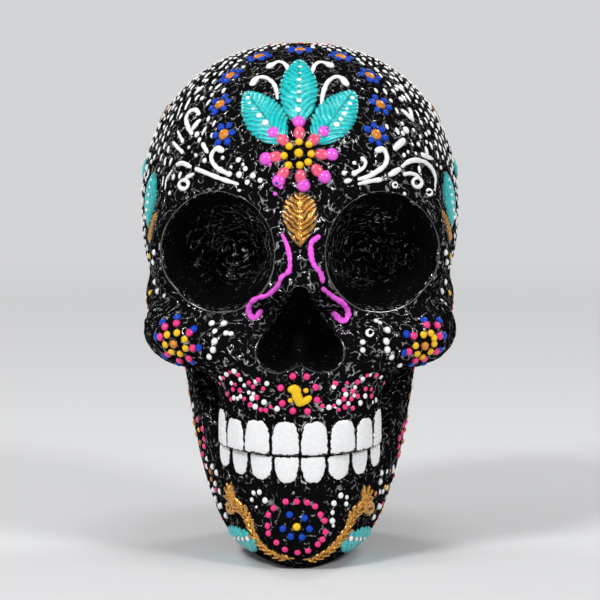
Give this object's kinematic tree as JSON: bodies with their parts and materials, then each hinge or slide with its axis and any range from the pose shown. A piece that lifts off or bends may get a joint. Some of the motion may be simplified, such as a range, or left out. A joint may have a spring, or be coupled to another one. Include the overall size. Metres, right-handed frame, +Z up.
{
  "type": "sugar skull",
  "caption": "Black lacquered sugar skull ornament with clenched teeth, deep eye sockets and raised painted flowers, leaves and scrolls, which stands on its chin and neck.",
  "frame": {"origin": "on the surface that the skull stands on, in the middle of its footprint box", "axes": "+Z up to the crown, +X to the right as seen from the front, and the face looks along -Y"},
  "size_m": [0.105, 0.1264, 0.164],
  "materials": {
    "black_lacquer": "gloss lacquer over cast resin",
    "ivory": "gloss enamel",
    "white_paint": "raised gloss paint",
    "teal_paint": "raised gloss paint",
    "blue_paint": "raised gloss paint",
    "magenta_paint": "raised gloss paint",
    "rose_paint": "raised gloss paint",
    "pink_paint": "raised gloss paint",
    "yellow_paint": "raised gloss paint",
    "gold_paint": "antique gold paint"
  },
  "bodies": {
    "root": {"cranium": "black_lacquer", "mandible": "black_lacquer", "upper_tooth_left_1": "ivory", "upper_tooth_left_2": "ivory", "upper_tooth_left_3": "ivory", "upper_tooth_left_4": "ivory", "upper_tooth_right_1": "ivory", "upper_tooth_right_2": "ivory", "upper_tooth_right_3": "ivory", "upper_tooth_right_4": "ivory", "lower_tooth_left_1": "ivory", "lower_tooth_left_2": "ivory", "lower_tooth_left_3": "ivory", "lower_tooth_left_4": "ivory", "lower_tooth_right_1": "ivory", "lower_tooth_right_2": "ivory", "lower_tooth_right_3": "ivory", "lower_tooth_right_4": "ivory", "forehead_flower_centre": "yellow_paint", "forehead_flower_petals": "rose_paint", "forehead_leaf_centre": "teal_paint", "forehead_leaf_left": "teal_paint", "forehead_leaf_right": "teal_paint", "brow_gold_leaf": "gold_paint", "crown_flower_1": "blue_paint", "crown_flower_2": "blue_paint", "crown_flower_3": "blue_paint", "crown_flower_4": "blue_paint", "crown_flower_5": "blue_paint", "crown_flower_6": "blue_paint", "crown_flower_7": "blue_paint", "crown_flower_8": "blue_paint", "crown_flower_9": "blue_paint", "forehead_scroll_outer_left": "white_paint", "forehead_scroll_outer_right": "white_paint", "forehead_scroll_inner_left": "white_paint", "forehead_scroll_inner_right": "white_paint", "brow_scroll_left": "white_paint", "brow_scroll_right": "white_paint", "temple_leaf_left": "teal_paint", "temple_leaf_right": "teal_paint", "temple_gold_leaf_left": "gold_paint", "temple_gold_leaf_right": "gold_paint", "cheek_flower_centre_left": "yellow_paint", "cheek_flower_centre_right": "yellow_paint", "cheek_flower_petals_left": "blue_paint", "cheek_flower_petals_right": "blue_paint", "nose_scroll_left": "magenta_paint", "nose_scroll_right_upper": "magenta_paint", "nose_scroll_right_lower": "magenta_paint", "lip_rosette": "pink_paint", "chin_rosette": "pink_paint", "chin_gold_spray_left": "gold_paint", "chin_gold_spray_right": "gold_paint", "chin_leaf_left": "teal_paint", "chin_leaf_right": "teal_paint"}
  },
  "joints": []
}
